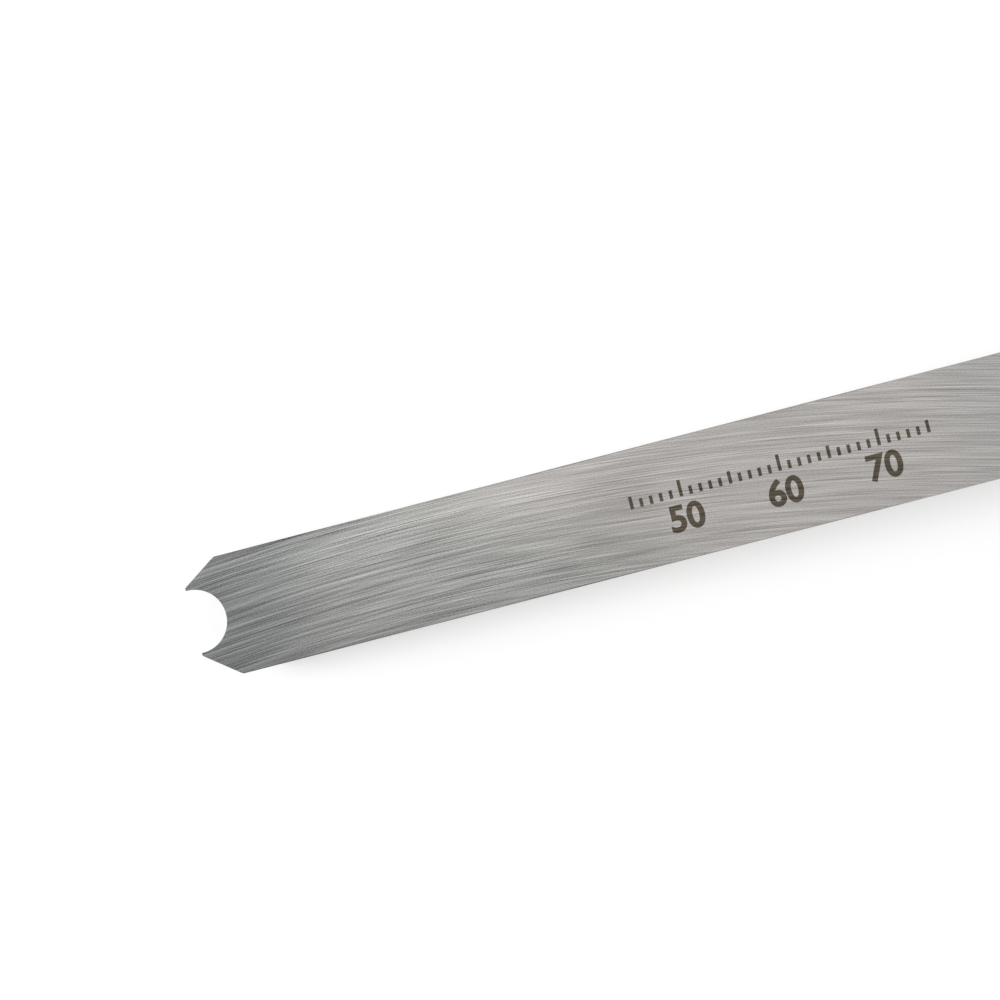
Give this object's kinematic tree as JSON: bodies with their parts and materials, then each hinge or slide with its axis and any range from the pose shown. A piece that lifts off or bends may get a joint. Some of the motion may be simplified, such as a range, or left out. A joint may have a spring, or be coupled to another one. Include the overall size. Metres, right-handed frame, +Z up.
{
  "type": "beading tool",
  "caption": "Wood turning tool: a flat steel bar with a half-round notch ground in its nose to cut a bead, in a brass ferrule and a turned ash handle.",
  "frame": {"origin": "on the bench, under the middle of the tool's bounding box as it lies at rest on its nose and on the belly of its handle", "axes": "+X from the points towards the butt of the handle, level with the bench, +Y to the left of someone who looks along +X, +Z up from the bench"},
  "size_m": [0.4184, 0.033, 0.0422],
  "materials": {
    "blade_steel": "high speed steel, ground on the flat faces with fine arcs that run along the bar",
    "ferrule_brass": "turned brass with fine tool lines round it",
    "handle_ash": "turned ash with its grain lengthwise, under a thin satin lacquer"
  },
  "bodies": {
    "root": {"blade": "blade_steel", "ferrule": "ferrule_brass", "handle": "handle_ash"}
  },
  "joints": []
}
